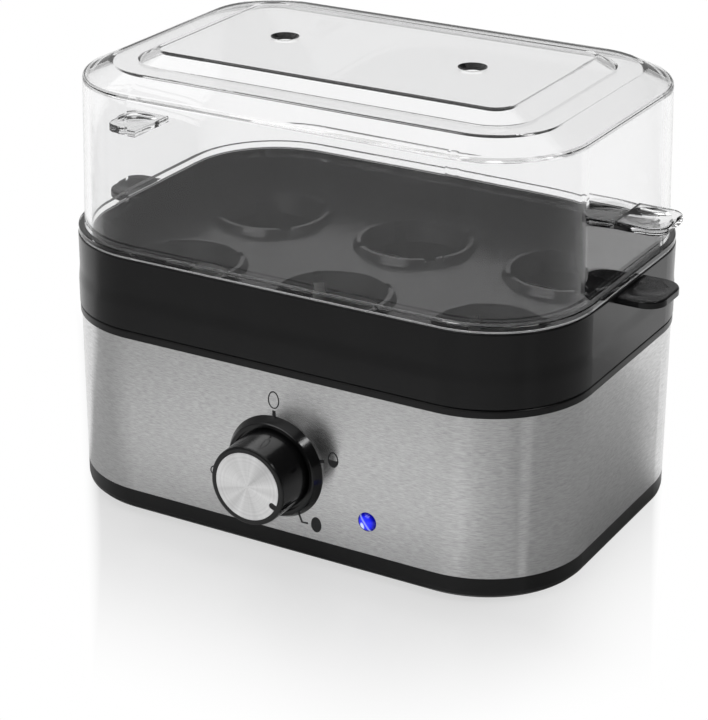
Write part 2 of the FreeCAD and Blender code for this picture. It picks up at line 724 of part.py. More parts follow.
def led_lens():
    """Domed lens pushed through the band from inside, hollow behind for the lamp."""
    inner = LED_RIM_R + LENS_PLAY
    dome_r = (LENS_R ** 2 + LENS_DOME ** 2) / (2 * LENS_DOME)
    back = -SHEET - LENS_FLANGE
    dome = Part.makeSphere(dome_r, V(0, 0, LENS_DOME - dome_r)).common(rod(LENS_R, 0, LENS_DOME + PAST))
    stem = rod(LENS_R, back, 0)
    flange = rod(LENS_FLANGE_R, back, -SHEET)
    hollow = rod(inner, back - PAST, -SHEET - LENS_WINDOW)
    return on_front(dome.fuse([stem, flange]).cut(hollow).removeSplitter(), LED_X, LED_Z)


def led():
    """Lamp with a rim and two leads that bend down to the board."""
    front = -SHEET - LED_GAP
    back = front - LED_BODY
    profile = [(0, front), (LED_R, front), (LED_R, back + LED_RIM), (LED_RIM_R, back + LED_RIM)]
    profile += [(LED_RIM_R, back), (0, back)]
    drop = BOARD_SEAT + BOARD_SHEET - LED_Z
    leads = []
    for side in SIDES:
        x0 = side * LED_PITCH / 2 - LED_LEAD / 2
        x1 = x0 + LED_LEAD
        leads.append(box(x0, x1, 0, LED_LEAD, LED_LEAD_END, back + LED_RIM / 2))
        leads.append(box(x0, x1, drop, LED_LEAD, LED_LEAD_END, LED_LEAD_END + LED_LEAD))
    return on_front(turned(profile).fuse(leads).removeSplitter(), LED_X, LED_Z)


# Electronics on the base

def control_board():
    board = box(BOARD_X[0], BOARD_X[1], BOARD_Y[0], BOARD_Y[1], BOARD_SEAT, BOARD_SEAT + BOARD_SHEET)
    holes = [rod(STAKE_R + SCREW_PLAY, 0, STAKE_TOP, x, y) for x, y in pillar_places()]
    return board.cut(holes)


def buzzer():
    seat = BOARD_SEAT + BOARD_SHEET
    top = seat + BUZZER_HEIGHT
    profile = [(0, seat), (BUZZER_R, seat), (BUZZER_R, top - BUZZER_EDGE), (BUZZER_R - BUZZER_EDGE, top)]
    profile += [(BUZZER_PORT_R, top), (BUZZER_PORT_R, top - BUZZER_PORT), (0, top - BUZZER_PORT)]
    can = turned(profile)
    return can.translated(V(BUZZER_PLACE[0], BUZZER_PLACE[1], 0))


def block_on_board(x0, x1, y0, y1, height):
    """Moulded block on the board, with softened upright edges."""
    seat = BOARD_SEAT + BOARD_SHEET
    half_x = (x1 - x0) / 2
    half_y = (y1 - y0) / 2
    return pad(half_x, half_y, BLOCK_ROUND, seat, seat + height, x0 + half_x, y0 + half_y)


def terminal_block():
    """Block on the base's floor, with one wire way and one screw hole for each lead."""
    x0, x1, y0, y1, height = TERMINAL_BOX
    top = BASE_FLOOR_TOP + height
    block = box(x0, x1, y0, y1, BASE_FLOOR_TOP, top)
    pitch = (x1 - x0) / TERMINAL_WAYS
    level = BASE_FLOOR_TOP + TERMINAL_WAY_RISE
    ways = []
    for way in range(TERMINAL_WAYS):
        x = x0 + (way + 0.5) * pitch
        start = V(x, y0 - PAST, level)
        ways.append(Part.makeCylinder(TERMINAL_WAY_R, y1 - y0 + PAST * 2, start, V(0, 1, 0)))
        ways.append(rod(TERMINAL_SCREW_R, level, top + PAST, x, (y0 + y1) / 2))
    return block.cut(ways)


def cord_gland():
    """Bush for the mains lead: flange outside, neck through the band, collar inside."""
    back = -SHEET - GLAND_INNER
    profile = [(GLAND_BORE_R, GLAND_PROUD), (GLAND_BORE_R, back), (GLAND_COLLAR_R, back)]
    profile += [(GLAND_COLLAR_R, -SHEET), (GLAND_NECK_R, -SHEET), (GLAND_NECK_R, 0), (GLAND_FLANGE_R, 0)]
    profile += [(GLAND_FLANGE_R, GLAND_PROUD - GLAND_EDGE), (GLAND_FLANGE_R - GLAND_EDGE, GLAND_PROUD)]
    return on_rear(turned(profile), GLAND_X, GLAND_Z)


# Lift-off tray and lid

def side_tab(side, half, end, corner, top, sheet, wall):
    """Grip tab at one end, rooted in the wall: rounded outline and upper edge, dished for the finger."""
    middle = side * (end - TAB_HALF_LENGTH)
    tab = pad(TAB_HALF_LENGTH, half, corner, top - sheet, top, middle)
    rim = [edge for edge in tab.Edges if edge.BoundBox.ZMin > top - TINY]
    tab = tab.makeFillet(TAB_EDGE_R, rim)
    ball_r = (FINGER_DISH_R ** 2 + FINGER_DISH ** 2) / (2 * FINGER_DISH)
    reach = end - FINGER_DISH_MARGIN - FINGER_DISH_R
    dish = Part.makeSphere(ball_r, V(side * reach, 0, top - FINGER_DISH + ball_r))
    dish = dish.cut(slab(wall, top - sheet, top + ball_r * 2))
    return tab.cut([dish, slab(wall + TAB_ROOT, top - sheet - PAST, top + PAST)])


def egg_seat(x, y):
    """Funnel that holds one egg, with notches that let steam rise past it."""
    profile = [(SEAT_BOTTOM_R, SEAT_BOTTOM), (SEAT_BOTTOM_R + SEAT_WALL, SEAT_BOTTOM)]
    profile += [(SEAT_TOP_R + SEAT_WALL, TRAY_CREASE - TRAY_FLOOR), (SEAT_FOOT_R, TRAY_CREASE)]
    profile += [(SEAT_TOP_R + SEAT_WALL, SEAT_TOP), (SEAT_TOP_R, SEAT_TOP)]
    funnel = turned(profile)
    for turn in range(NOTCHES):
        half = STEAM_NOTCH / 2
        cut = box(SEAT_BOTTOM_R - PAST * 2, STEAM_NOTCH_R, -half, half, SEAT_BOTTOM - PAST, SEAT_TOP + PAST)
        funnel = funnel.cut(cut.rotated(V(0, 0, 0), UP, (turn + 0.5) * 360 / NOTCHES))
    return funnel.translated(V(x, y, 0))


def egg_tray():
    floor_low = TRAY_CREASE - TRAY_FLOOR
    foot_line = (TRAY_LOW, COLLAR_TOP + GROOVE)
    below = (TRAY_LOW, TRAY_CREASE - TRAY_CREASE_HEIGHT / 2)
    above = (TRAY_HIGH, TRAY_CREASE + TRAY_CREASE_HEIGHT / 2)
    rim = (TRAY_HIGH, TRAY_TOP)
    profile = [(GROOVE_INSET, COLLAR_TOP), (GROOVE_INSET, COLLAR_TOP + GROOVE), foot_line]
    profile += soften(foot_line, below, above, TRAY_CREASE_R) + soften(below, above, rim, TRAY_CREASE_R)
    tray = stack(profile + soften(above, rim, (HALF_WIDTH, TRAY_TOP), TRAY_EDGE_R))
    well = slab(TRAY_WALL_INSET, TRAY_CREASE, TRAY_TOP + PAST)
    under = slab(TRAY_WALL_INSET, COLLAR_TOP - PAST, floor_low)
    hole_r = SEAT_TOP_R + SEAT_WALL / 2
    holes = [rod(hole_r, floor_low - PAST, TRAY_CREASE + PAST, x, y) for x, y in egg_places()]
    tray = tray.cut([well, under] + holes)
    added = [ring(SPIGOT_OUTER, SPIGOT_INNER, SPIGOT_BOTTOM, floor_low + TRAY_FLOOR / 2)]
    for side in SIDES:
        added.append(side_tab(side, TRAY_TAB_HALF, TRAY_TAB_END, TRAY_TAB_CORNER,
                              TRAY_TAB_TOP, TRAY_TAB_SHEET, TRAY_HIGH))
    seats = [egg_seat(x, y) for x, y in egg_places()]
    clearances = [rod(SEAT_TOP_R, SPIGOT_BOTTOM - PAST, SEAT_BOTTOM, x, y) for x, y in egg_places()]
    return tray.fuse(added).cut(clearances).fuse(seats).removeSplitter()


def lid_profile(offset, bottom, shoulder_r, ridge_r):
    """Inset and height of the lid's wall and stepped top, moved inwards by offset."""
    wall = (LID_WALL_LOW + offset, bottom)
    shoulder = (LID_WALL_HIGH + offset, LID_SHOULDER - offset)
    ridge = (LID_RIDGE_INSET + offset / 2, LID_RIDGE - offset)
    step = (LID_STEP_INSET + offset / 2, LID_STEP - offset)
    top = (LID_TOP_INSET + offset / 2, LID_TOP - offset)
    middle = (HALF_WIDTH, LID_TOP - offset)
    profile = [wall] + soften(wall, shoulder, ridge, shoulder_r)
    profile += soften(shoulder, ridge, step, ridge_r) + [step]
    return profile + soften(step, top, middle, ridge_r)


def lid():
    """Clear hood: edge that rests on the tray, plug that drops inside it, wall and stepped top."""
    outside = stack(lid_profile(0, TRAY_TOP, LID_SHOULDER_R, LID_RIDGE_R))
    inside = stack(lid_profile(LID_SHEET, LID_PLUG_BOTTOM - PAST, LID_INNER_R, LID_INNER_R))
    low = (LID_EDGE_INSET, TRAY_TOP)
    high = (LID_EDGE_INSET, LID_EDGE_TOP)
    edge = stack(soften((HALF_WIDTH, TRAY_TOP), low, high, LID_EDGE_R)
                 + soften(low, high, (HALF_WIDTH, LID_EDGE_TOP), LID_EDGE_R))
    plug = slab(LID_PLUG_INSET, LID_PLUG_BOTTOM, TRAY_TOP + PAST)
    added = [edge, plug]
    for side in SIDES:
        added.append(side_tab(side, LID_TAB_HALF, LID_TAB_END, LID_TAB_CORNER,
                              LID_TAB_TOP, LID_TAB_SHEET, LID_TAB_WALL))
    past_top = LID_TOP + PAST
    vent = turned([(0, LID_STEP), (STEAM_VENT_R, LID_STEP), (STEAM_VENT_R, LID_TOP - STEAM_VENT_SINK),
                   (STEAM_VENT_MOUTH_R, LID_TOP), (STEAM_VENT_MOUTH_R, past_top), (0, past_top)])
    vents = [vent.translated(V(side * STEAM_VENT_X, 0, 0)) for side in SIDES]
    return outside.fuse(added).cut([inside] + vents).removeSplitter()


def all_pieces():
    pieces = {
        "base_housing": base_housing(),
        "steel_band": steel_band(),
        "top_collar": top_collar(),
        "housing_screws": housing_screws(),
        "heating_plate": heating_plate(),
        "plate_seal": plate_seal(),
        "clip_screws": clip_screws(),
        "heating_element": heating_element(),
        "sensor_bracket": sensor_bracket(),
        "bracket_nuts": bracket_nuts(),
        "thermostat": thermostat(),
        "thermal_fuse": thermal_fuse(),
        "fuse_clip": fuse_clip(),
        "knob_bezel": knob_bezel(),
        "rotary_control": rotary_control(),
        "control_washer": control_washer(),
        "control_nut": control_nut(),
        "control_shaft": control_shaft(),
        "knob_clip": knob_clip(),
        "knob": knob(),
        "knob_cap": knob_cap(),
        "led_lens": led_lens(),
        "led": led(),
        "control_board": control_board(),
        "buzzer": buzzer(),
        "power_relay": block_on_board(*RELAY_BOX),
        "dropper_capacitor": block_on_board(*CAPACITOR_BOX),
        "terminal_block": terminal_block(),
        "cord_gland": cord_gland(),
        "egg_tray": egg_tray(),
        "lid": lid(),
    }
    for name, place in zip(CORNER_NAMES, foot_places()):
        pieces["foot_" + name] = foot(*place)
    for name, place in zip(CORNER_NAMES, clip_places()):
        pieces["plate_clip_" + name] = plate_clip(*place)
    return pieces


os.makedirs("parts", exist_ok=True)
for piece_name, piece in all_pieces().items():
    placed = piece.translated(V(0, DEPTH_SHIFT, 0))
    placed.exportStep("parts/" + piece_name + ".step")
    print(piece_name, len(placed.Solids), placed.isValid(), round(placed.Volume, 1))
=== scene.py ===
import json
import math

import bmesh
import bpy
from mathutils import Matrix, Vector


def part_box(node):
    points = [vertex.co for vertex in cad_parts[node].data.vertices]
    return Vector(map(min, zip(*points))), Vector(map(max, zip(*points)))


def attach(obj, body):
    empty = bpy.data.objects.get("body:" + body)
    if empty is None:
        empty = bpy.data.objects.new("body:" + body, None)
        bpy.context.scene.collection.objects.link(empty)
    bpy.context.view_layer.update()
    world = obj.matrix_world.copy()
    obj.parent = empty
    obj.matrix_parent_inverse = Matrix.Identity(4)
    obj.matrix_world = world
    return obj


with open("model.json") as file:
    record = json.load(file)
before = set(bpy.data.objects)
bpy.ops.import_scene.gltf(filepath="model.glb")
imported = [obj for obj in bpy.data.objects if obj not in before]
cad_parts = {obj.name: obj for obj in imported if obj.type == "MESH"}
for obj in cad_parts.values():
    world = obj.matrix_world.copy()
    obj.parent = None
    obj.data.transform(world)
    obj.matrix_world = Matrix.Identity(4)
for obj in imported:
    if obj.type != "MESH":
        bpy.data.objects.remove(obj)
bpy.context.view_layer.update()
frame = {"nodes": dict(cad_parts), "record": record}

NODES = frame["nodes"]
MM = 0.001

# Places from the frame: the steel band, the knob's axis and the lens
BAND_LOW, BAND_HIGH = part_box("steel_band")
KNOB = sum(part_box("knob_bezel"), Vector()) / 2
LENS = sum(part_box("led_lens"), Vector()) / 2
FLAT = Vector((1.0, 1.0, 0.0))
FRONT = BAND_LOW.y
LENS_R = 3.1 * MM
BODY_MIDDLE = (BAND_HIGH + BAND_LOW) / 2 * FLAT
BODY_HALF = (BAND_HIGH - BAND_LOW) / 2 * FLAT

# Radius and centre of the band's corner at the front right
CORNER_R = 34.0 * MM
CORNER = BODY_MIDDLE + Vector((BODY_HALF.x - CORNER_R, CORNER_R - BODY_HALF.y, 0.0))


def heading(degrees):
    """Level direction, turned from the front of the object toward its right."""
    turn = math.radians(degrees)
    return Vector((math.sin(turn), -math.cos(turn), 0.0))


def even(number):
    """The same number for all three axes or colour channels."""
    return (number, number, number)


def scaled(numbers, factor):
    """Each of the numbers times a factor."""
    return tuple(number * factor for number in numbers)


# Shader nodes

# Noise seldom goes past these two values
NOISE_LOW = 0.3
NOISE_HIGH = 0.7


def feed(tree, node, inputs):
    """Give inputs of a node their values: another node's output, or a fixed value."""
    for name, value in inputs.items():
        if isinstance(value, bpy.types.NodeSocket):
            tree.links.new(value, node.inputs[name])
        else:
            node.inputs[name].default_value = value


def object_point(tree):
    """Place on the object, in metres."""
    return tree.nodes.new("ShaderNodeTexCoord").outputs["Object"]


def noise(tree, scale, detail=2.0, roughness=0.5):
    """Noise over the object, finer along the axes with a larger scale."""
    mapping = tree.nodes.new("ShaderNodeMapping")
    feed(tree, mapping, {"Vector": object_point(tree), "Scale": scale})
    texture = tree.nodes.new("ShaderNodeTexNoise")
    feed(tree, texture, {
        "Vector": mapping.outputs["Vector"],
        "Scale": 1.0,
        "Detail": detail,
        "Roughness": roughness,
    })
    return texture.outputs["Fac"]


def ranged(tree, value, start, end, low, high, passage):
    """Low up to start, high from end on, and a passage between them."""
    mapper = tree.nodes.new("ShaderNodeMapRange")
    mapper.interpolation_type = passage
    feed(tree, mapper, {"Value": value, "From Min": start, "From Max": end, "To Min": low, "To Max": high})
    return mapper.outputs["Result"]


def fade(tree, value, start, end, low=0.0, high=1.0):
    """Low up to start, high from end on, softly joined."""
    return ranged(tree, value, start, end, low, high, "SMOOTHSTEP")


def span(tree, value, low, high):
    """Noise spread between low and high."""
    return ranged(tree, value, NOISE_LOW, NOISE_HIGH, low, high, "LINEAR")


def around(tree, value, middle, spread):
    """Noise spread to both sides of a middle value."""
    return span(tree, value, middle - spread, middle + spread)


def tint(tree, value, low, high):
    """Noise as a colour between low and high."""
    ramp = tree.nodes.new("ShaderNodeValToRGB")
    ends = ramp.color_ramp.elements
    for end, position, colour in ((ends[0], NOISE_LOW, low), (ends[1], NOISE_HIGH, high)):
        end.position = position
        end.color = (*colour, 1.0)
    feed(tree, ramp, {"Fac": value})
    return ramp.outputs["Color"]


def mottle(tree, value, colour, contrast):
    """Noise as a colour that is a little lighter here and darker there."""
    return tint(tree, value, scaled(colour, 1.0 - contrast), scaled(colour, 1.0 + contrast))


def bump(tree, shader, value, strength, rise):
    """Raise the surface by value."""
    node = tree.nodes.new("ShaderNodeBump")
    feed(tree, node, {"Height": value, "Strength": strength, "Distance": rise})
    feed(tree, shader, {"Normal": node.outputs["Normal"]})


def blend(tree, share, first, second, mode="MIX"):
    """Colour that passes from the first to the second by share."""
    node = tree.nodes.new("ShaderNodeMix")
    node.data_type = "RGBA"
    node.blend_type = mode
    feed(tree, node, {"Factor": share, "A": first, "B": second})
    return node.outputs["Result"]


def surface(tree, share, first, second):
    """Surface that passes from the first shader to the second by share."""
    mix = tree.nodes.new("ShaderNodeMixShader")
    feed(tree, mix, {"Fac": share, 1: first, 2: second})
    feed(tree, tree.nodes["Material Output"], {"Surface": mix.outputs["Shader"]})


def vector_math(tree, operation, vector, other=(0.0, 0.0, 0.0)):
    """Node for one step of vector arithmetic; other is a fixed vector."""
    node = tree.nodes.new("ShaderNodeVectorMath")
    node.operation = operation
    feed(tree, node, {0: vector, 1: other})
    return node


def vector_step(tree, operation, vector, other=(0.0, 0.0, 0.0)):
    """Vector after one step of arithmetic."""
    return vector_math(tree, operation, vector, other).outputs["Vector"]


def length(tree, vector):
    """Length of a vector."""
    return vector_math(tree, "LENGTH", vector).outputs["Value"]


def along(tree, vector, direction):
    """Part of a vector along a direction."""
    return vector_math(tree, "DOT_PRODUCT", vector, direction).outputs["Value"]


def combine(tree, operation, result, *others):
    """Values joined by one operation, in turn."""
    for other in others:
        node = tree.nodes.new("ShaderNodeMath")
        node.operation = operation
        feed(tree, node, {0: result, 1: other})
        result = node.outputs["Value"]
    return result


def from_point(tree, point, across=1.0, up=1.0):
    """Vector on the front from a point, stretched across and up."""
    offset = vector_step(tree, "SUBTRACT", object_point(tree), point)
    return vector_step(tree, "MULTIPLY", offset, (across, 0.0, up))


# Materials

MOTTLE_SCALE = 90.0
MOTTLE = 0.12
GLOSS_SPREAD = 0.03
BROAD_SHARE = 0.12
FLOW_SCALE = 45.0
GRAIN_RISE = 0.02 * MM
BRUSH_RISE = 0.01 * MM
FLOW_RISE = 0.2 * MM
QUARTER_TURN = 0.25

# Lit lens: its colours, then its dark rim, bent streak and painted highlight (a bright glint) in radii of
# the lens
LENS_BLUE = (0.012, 0.02, 0.95, 1.0)
LENS_DARK = (0.0, 0.0, 0.16, 1.0)
LENS_PALE = (0.75, 0.85, 1.0, 1.0)
LENS_MIDDLE = Vector((0.0, 0.0, 0.0))
RIM_START = 0.45
STREAK_ROOT = Vector((-1.5, 0.0, -1.1))
STREAK_INNER = 1.7
STREAK_MIDDLE = 1.88
STREAK_OUTER = 2.06
STREAK_SHARE = 0.45
PAINTED_GLINT_ROOT = Vector((-0.36, 0.0, -0.36))
PAINTED_GLINT_STRETCH = (1.3, 0.9)
PAINTED_GLINT_FULL = 0.2
PAINTED_GLINT_END = 0.42


def new_material(name):
    """Material with a Principled shader; returns it with its node tree and that shader."""
    material = bpy.data.materials.new(name)
    material.use_nodes = True
    tree = material.node_tree
    return material, tree, tree.nodes["Principled BSDF"]


def moulded(name, colour, roughness, grain=2600.0, depth=0.12, shine=0.5):
    """Moulded plastic or rubber: fine grain, slight mottling of colour and gloss."""
    material, tree, shader = new_material(name)
    fine = noise(tree, even(grain), detail=3.0)
    broad = noise(tree, even(MOTTLE_SCALE), detail=4.0)
    feed(tree, shader, {
        "Specular IOR Level": shine,
        "Base Color": mottle(tree, broad, colour, MOTTLE),
        "Roughness": around(tree, broad, roughness, GLOSS_SPREAD),
    })
    bump(tree, shader, fine, depth, GRAIN_RISE)
    return material


def metal(name, colour, roughness, stretch, anisotropy=0.0, contrast=0.09, depth=0.08, spread=0.06):
    """Metal with streaks, which run along the axes with the smaller stretch."""
    material, tree, shader = new_material(name)
    streaks = noise(tree, stretch, detail=3.0, roughness=0.6)
    broad = noise(tree, scaled(stretch, BROAD_SHARE))
    feed(tree, shader, {
        "Metallic": 1.0,
        "Base Color": mottle(tree, streaks, colour, contrast),
        "Roughness": around(tree, broad, roughness, spread),
    })
    if anisotropy:
        brushed_round(tree, shader, "Z", anisotropy)
    bump(tree, shader, streaks, depth, BRUSH_RISE)
    return material


def brushed_round(tree, shader, axis, anisotropy):
    """Stretch reflections across brush marks that run round an axis."""
    tangent = tree.nodes.new("ShaderNodeTangent")
    tangent.direction_type = "RADIAL"
    tangent.axis = axis
    feed(tree, shader, {
        "Anisotropic": anisotropy,
        "Anisotropic Rotation": QUARTER_TURN,
        "Tangent": tangent.outputs["Tangent"],
    })


def spun(name, colour, roughness, middle, dark=0.93, light=1.05, painted_sheen_low=0.76, depth=0.12, spread=0.04):
    """Metal turned on a lathe about a point of the front: fine rings, and painted reflections as darker
    sectors round the point.
    """
    material, tree, shader = new_material(name)
    spoke = from_point(tree, middle)
    rings = tree.nodes.new("ShaderNodeTexNoise")
    rings.noise_dimensions = "1D"
    feed(tree, rings, {"W": length(tree, spoke), "Scale": 1500.0, "Detail": 2.0})
    ring = rings.outputs["Fac"]
    # painted reflections of the spun finish, with some uneven tone: sectors round the point are darker in
    # colour
    painted_sheen = tree.nodes.new("ShaderNodeTexNoise")
    feed(tree, painted_sheen, {"Vector": vector_step(tree, "NORMALIZE", spoke), "Scale": 2.2, "Detail": 3.0})
    ringed = tint(tree, ring, scaled(colour, dark), scaled(colour, light))
    painted_sheen_colour = tint(tree, painted_sheen.outputs["Fac"], even(painted_sheen_low), even(1.0))
    feed(tree, shader, {
        "Metallic": 1.0,
        "Base Color": blend(tree, 1.0, ringed, painted_sheen_colour, "MULTIPLY"),
        "Roughness": around(tree, ring, roughness, spread),
    })
    brushed_round(tree, shader, "Y", anisotropy=0.8)
    bump(tree, shader, ring, depth, BRUSH_RISE)
    return material


def clear(name, colour, ior, roughness, depth=0.006, passing=0.96):
    """Clear moulding; light from the lamps passes it without a hard shadow."""
    material, tree, shader = new_material(name)
    flow = noise(tree, even(FLOW_SCALE))
    feed(tree, shader, {
        "Base Color": (*colour, 1.0),
        "Transmission Weight": 1.0,
        "IOR": ior,
        "Roughness": span(tree, flow, 0.0, roughness),
    })
    bump(tree, shader, flow, depth, FLOW_RISE)
    through = tree.nodes.new("ShaderNodeBsdfTransparent")
    feed(tree, through, {"Color": (*scaled(colour, passing), 1.0)})
    path = tree.nodes.new("ShaderNodeLightPath")
    surface(tree, path.outputs["Is Shadow Ray"], shader.outputs["BSDF"], through.outputs["BSDF"])
    return material


def lit_lens(name, middle, radius):
    """Blue lens with the lamp on behind it: dark at the rim, a bent streak and a painted highlight as a
    bright spot.
    """
    material, tree, shader = new_material(name)

    def reach(root, across=1.0, up=1.0):
        """Distance from a point of the lens, in radii."""
        return length(tree, from_point(tree, middle + radius * root, across / radius, up / radius))

    glow = blend(tree, fade(tree, reach(LENS_MIDDLE), RIM_START, 1.0), LENS_BLUE, LENS_DARK)
    arc = reach(STREAK_ROOT)
    inner = fade(tree, arc, STREAK_INNER, STREAK_MIDDLE)
    outer = fade(tree, arc, STREAK_MIDDLE, STREAK_OUTER, STREAK_SHARE, 0.0)
    # painted highlight: a bright glint low on the left of the lens, put into its emission
    spot = fade(tree, reach(PAINTED_GLINT_ROOT, *PAINTED_GLINT_STRETCH), PAINTED_GLINT_FULL, PAINTED_GLINT_END, 1.0, 0.0)
    bright = combine(tree, "MAXIMUM", combine(tree, "MULTIPLY", inner, outer), spot)
    feed(tree, shader, {
        "Base Color": glow,
        "Roughness": 0.05,
        "Emission Color": blend(tree, bright, glow, LENS_PALE),
        "Emission Strength": 0.85,
    })
    return material


def printed(name, dark, light, smooth, rough, patches=1500.0):
    """Printing ink, slightly uneven in colour and gloss."""
    material, tree, shader = new_material(name)
    patchy = noise(tree, even(patches), detail=3.0)
    feed(tree, shader, {
        "Base Color": tint(tree, patchy, dark, light),
        "Roughness": span(tree, patchy, smooth, rough),
    })
    return material


BLACK = (0.006, 0.006, 0.0063)
BRUSHED_LEVEL = (420.0, 420.0, 3400.0)
BRUSHED_ALONG = (60.0, 900.0, 900.0)

# The look of each material slot in the record
LOOKS = {
    "clear_hood": (clear, dict(colour=(0.968, 0.968, 0.97), ior=1.45, roughness=0.01)),
    "black_tray": (moulded, dict(colour=BLACK, roughness=0.23, grain=1500.0, depth=0.01, shine=0.3)),
    "black_moulding": (moulded, dict(colour=BLACK, roughness=0.32, shine=0.3)),
    "black_knob": (moulded, dict(colour=BLACK, roughness=0.17, grain=2000.0, depth=0.012, shine=0.35)),
    "brushed_band": (metal, dict(colour=even(0.6), roughness=0.2, stretch=BRUSHED_LEVEL, anisotropy=0.95,
                                 contrast=0.175, depth=0.05, spread=0.015)),
    "spun_steel": (spun, dict(colour=even(0.9), roughness=0.32, middle=KNOB)),
    "plate_steel": (metal, dict(colour=(0.6, 0.6, 0.59), roughness=0.32, stretch=even(400.0))),
    "silicone": (moulded, dict(colour=even(0.36), roughness=0.55, grain=1800.0)),
    "rubber": (moulded, dict(colour=even(0.02), roughness=0.75, grain=1800.0, depth=0.2)),
    "zinc_steel": (metal, dict(colour=(0.58, 0.6, 0.63), roughness=0.38, stretch=even(700.0))),
    "element_sheath": (metal, dict(colour=(0.2, 0.19, 0.18), roughness=0.5, stretch=even(900.0))),
    "phenolic": (moulded, dict(colour=(0.04, 0.03, 0.026), roughness=0.45)),
    "fuse_can": (metal, dict(colour=even(0.7), roughness=0.3, stretch=BRUSHED_ALONG)),
    "control_can": (metal, dict(colour=even(0.5), roughness=0.35, stretch=even(800.0))),
    "blue_lens": (lit_lens, dict(middle=LENS, radius=LENS_R)),
    "lamp": (moulded, dict(colour=(0.5, 0.6, 0.95), roughness=0.1, grain=900.0, depth=0.02)),
    "board": (moulded, dict(colour=(0.03, 0.14, 0.06), roughness=0.4, grain=1600.0)),
    "black_component": (moulded, dict(colour=even(0.02), roughness=0.5)),
    "film_component": (moulded, dict(colour=(0.45, 0.22, 0.03), roughness=0.35, grain=1400.0)),
    "terminal": (moulded, dict(colour=(0.72, 0.7, 0.63), roughness=0.45)),
    "gland": (moulded, dict(colour=even(0.015), roughness=0.5)),
}
materials = {slot: make(slot, **look) for slot, (make, look) in LOOKS.items()}
ink = printed("scale_ink", dark=(0.008, 0.008, 0.009), light=(0.02, 0.02, 0.021), smooth=0.45, rough=0.6)

for entry in frame["record"]["subparts"]:
    node = NODES[entry["node"]]
    node.data.materials.clear()
    node.data.materials.append(materials[entry["material_slot"]])


# Printed scale on the steel front

INK_RISE = 0.05 * MM
INK_ROOT = 0.03 * MM
INK_LINE = 0.4 * MM
INK_INSET = 0.8 * INK_LINE
CURVE_STEPS = 48
UPPER_SHARE = 0.54

# Egg signs: x, z, width and height in millimetres, and how each is filled
EGG_MARKS = {
    "mark_soft": (-0.9, 52.85, 4.05, 5.9, "outline"),
    "mark_medium": (20.2, 37.7, 3.7, 5.2, "half"),
    "mark_hard": (14.1, 13.9, 3.7, 5.2, "full"),
    "mark_off": (-22.9, 23.5, 3.6, 3.4, "outline"),
}

# Ticks: width in millimetres, and the points that each passes through
TICKS = {
    "tick_soft": (1.15, [(-0.8, 46.3), (-0.8, 49.5)]),
    "tick_medium": (1.1, [(13.6, 35.9), (17.0, 36.6)]),
    "tick_hard": (0.7, [(7.4, 17.4), (9.0, 13.7), (11.1, 13.8)]),
}


def oval(width, height, start=0.0, end=360.0):
    """Points of an upright egg: its upper half is longer than its lower half."""
    points = []
    for step in range(CURVE_STEPS + 1):
        angle = math.radians(start + (end - start) * step / CURVE_STEPS)
        share = UPPER_SHARE if math.sin(angle) > 0 else 1.0 - UPPER_SHARE
        points.append((width / 2 * math.cos(angle), height * share * math.sin(angle)))
    return points


def ink_piece(name, faces, x=0.0, z=0.0):
    """Raised printing on the front: flat outlines, each a list of points about x and z."""
    mesh = bpy.data.meshes.new(name)
    build = bmesh.new()
    for points in faces:
        ring = [build.verts.new((x + px, FRONT + INK_ROOT, z + pz)) for px, pz in points]
        raised = bmesh.ops.extrude_face_region(build, geom=[build.faces.new(ring)])
        top = [item for item in raised["geom"] if isinstance(item, bmesh.types.BMVert)]
        bmesh.ops.translate(build, verts=top, vec=(0.0, -INK_ROOT - INK_RISE, 0.0))
    bmesh.ops.recalc_face_normals(build, faces=build.faces)
    build.to_mesh(mesh)
    build.free()
    piece = bpy.data.objects.new(name, mesh)
    bpy.context.scene.collection.objects.link(piece)
    mesh.materials.append(ink)
    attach(piece, "housing")


def stroke(points, width):
    """Outline of a bent line through the points."""
    left = []
    right = []
    for index, point in enumerate(points):
        before = points[max(index - 1, 0)]
        after = points[min(index + 1, len(points) - 1)]
        course = (after - before).normalized()
        side = Vector((-course.y, course.x)) * (width / 2)
        left.append(point + side)
        right.append(point - side)
    return left + right[::-1]


def egg_mark(name, x, z, width, height, fill):
    """Egg sign: outline, half filled or filled."""
    outer = oval(width, height)
    if fill == "full":
        faces = [outer[:-1]]
    else:
        inner = oval(width - 2 * INK_LINE, height - 2 * INK_LINE)
        faces = [[outer[i], outer[i + 1], inner[i + 1], inner[i]] for i in range(CURVE_STEPS)]
    if fill == "half":
        faces.append(oval(width - 2 * INK_INSET, height - 2 * INK_INSET, 180.0, 360.0))
    ink_piece(name, faces, x, z)


for name, (x, z, width, height, fill) in EGG_MARKS.items():
    egg_mark(name, x * MM, z * MM, width * MM, height * MM, fill)
for name, (width, points) in TICKS.items():
    ink_piece(name, [stroke([Vector(point) * MM for point in points], width * MM)])


# Floor

FLOOR_HALF = 6.0
FLOOR_GREY = 0.6
FLOOR_ROUGHNESS = 0.32
FLOOR_SHINE = 0.6

# Painted white over the floor's shadow round the body: the shadow's share of white, where it fades, and
# how much shorter it is painted on the right
SHADOW_WHITE = 0.6
SHADOW_START = 0.005
SHADOW_END = 0.095
SHADOW_CUT = 0.045

# Edges on the floor: a heading in degrees, then the start and end of a soft passage in metres
CUT_EDGE = (111.53, 0.01, 0.09)
LEFT_EDGE = (-52.84, 0.08, 0.093)
RIGHT_EDGE = (111.53, 0.087, 0.099)
BACK_EDGE = (-150.0, -0.03, 0.01)

